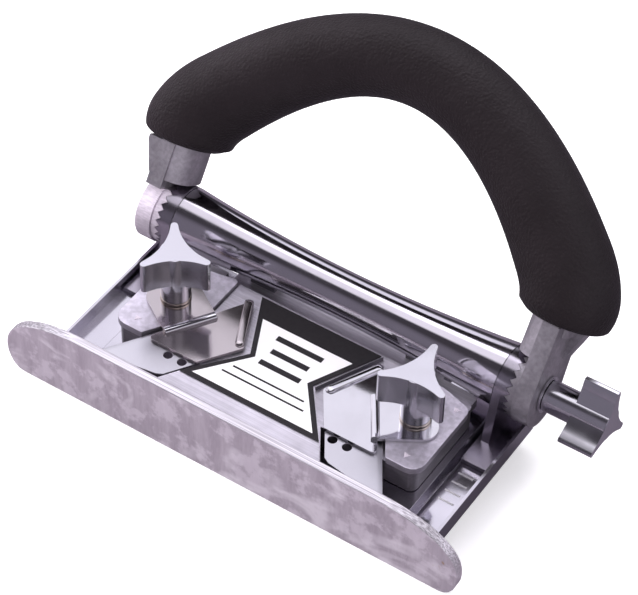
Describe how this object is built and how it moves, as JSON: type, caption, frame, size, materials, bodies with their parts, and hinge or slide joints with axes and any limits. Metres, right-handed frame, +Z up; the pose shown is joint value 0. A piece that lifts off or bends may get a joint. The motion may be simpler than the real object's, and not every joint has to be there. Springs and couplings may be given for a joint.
{
  "type": "carpet wall trimmer",
  "caption": "Hand tool that trims carpet along a wall: wall rail, clamped slotted blades, sliding base tray and a padded arched handle on a toothed tilt clutch.",
  "frame": {"origin": "on the ground, on the mirror plane, level with the two clamp studs", "axes": "+X to the right along the wall rail, +Y away from the wall, +Z up"},
  "size_m": [0.2761, 0.1863, 0.152],
  "materials": {
    "cast_aluminium": "satin, as cast",
    "polished_chrome": "polished",
    "rail_steel": "matte ground with vertical streaks",
    "blade_steel": "ground",
    "fastener_steel": "dull plated",
    "grip_rubber": "fine grain, soft sheen",
    "label_enamel": "printed, semi gloss"
  },
  "bodies": {
    "frame": {"wall_rail": "rail_steel", "head_casting": "cast_aluminium", "head_block_left": "cast_aluminium", "head_block_right": "cast_aluminium", "stud_left": "fastener_steel", "stud_right": "fastener_steel", "label_plate": "label_enamel", "cross_bar": "polished_chrome", "ear_left": "polished_chrome", "ear_right": "polished_chrome", "ear_dowel_left": "fastener_steel", "ear_dowel_right": "fastener_steel", "rail_screw_left": "fastener_steel", "rail_screw_right": "fastener_steel", "bar_screw_left": "fastener_steel", "bar_screw_right": "fastener_steel", "block_screw_left_front": "fastener_steel", "block_screw_left_back": "fastener_steel", "block_screw_right_front": "fastener_steel", "block_screw_right_back": "fastener_steel", "lock_screw_left": "fastener_steel", "lock_screw_right": "fastener_steel"},
    "tray": {"base_tray": "polished_chrome", "sole_plate": "cast_aluminium", "sole_screw_left": "fastener_steel", "sole_screw_right": "fastener_steel"},
    "handle": {"handle_frame": "cast_aluminium", "grip": "grip_rubber", "side_washer": "fastener_steel"},
    "jaw": {"clutch_jaw_left": "polished_chrome", "pivot_rod": "fastener_steel", "rod_nut": "fastener_steel"},
    "turn_knob": {"side_knob": "polished_chrome"},
    "left_clamp": {"clamp_left": "polished_chrome", "knob_washer_left": "fastener_steel"},
    "right_clamp": {"clamp_right": "polished_chrome", "knob_washer_right": "fastener_steel"},
    "left_knob": {"clamp_knob_left": "polished_chrome"},
    "right_knob": {"clamp_knob_right": "polished_chrome"},
    "left_blade": {"blade_left": "blade_steel"},
    "right_blade": {"blade_right": "blade_steel"}
  },
  "joints": [
    {"name": "tray_slide", "type": "slide", "parent": "frame", "child": "tray", "axis": [0, 1, 0], "range_m": [-0.005, 0.012]},
    {"name": "handle_tilt", "type": "hinge", "parent": "frame", "child": "handle", "pos_m": [0, 0.0438, 0.036], "axis": [1, 0, 0], "range_deg": [-45, 60]},
    {"name": "side_knob_turn", "type": "hinge", "parent": "handle", "child": "turn_knob", "pos_m": [0, 0.0438, 0.036], "axis": [1, 0, 0], "range_deg": [0, 720]},
    {"name": "jaw_slide", "type": "slide", "parent": "handle", "child": "jaw", "axis": [1, 0, 0], "range_m": [-0.0035, 0]},
    {"name": "left_clamp_lift", "type": "slide", "parent": "frame", "child": "left_clamp", "axis": [0, 0, 1], "range_m": [0, 0.003]},
    {"name": "left_knob_turn", "type": "hinge", "parent": "left_clamp", "child": "left_knob", "pos_m": [-0.06806, 0, 0.046], "axis": [0, 0, 1], "range_deg": [0, 720]},
    {"name": "left_blade_slide", "type": "slide", "parent": "frame", "child": "left_blade", "axis": [0.5402, 0.8415, 0], "range_m": [-0.0055, 0.006]},
    {"name": "right_clamp_lift", "type": "slide", "parent": "frame", "child": "right_clamp", "axis": [0, 0, 1], "range_m": [0, 0.003]},
    {"name": "right_knob_turn", "type": "hinge", "parent": "right_clamp", "child": "right_knob", "pos_m": [0.06806, 0, 0.046], "axis": [0, 0, 1], "range_deg": [0, 720]},
    {"name": "right_blade_slide", "type": "slide", "parent": "frame", "child": "right_blade", "axis": [-0.5402, 0.8415, 0], "range_m": [-0.0055, 0.006]}
  ],
  "couplings": [
    {"joint": "side_knob_turn", "follows": "jaw_slide", "rad_per_m": -3590.4},
    {"joint": "left_knob_turn", "follows": "left_clamp_lift", "rad_per_m": 4188.8},
    {"joint": "right_knob_turn", "follows": "right_clamp_lift", "rad_per_m": 4188.8}
  ]
}
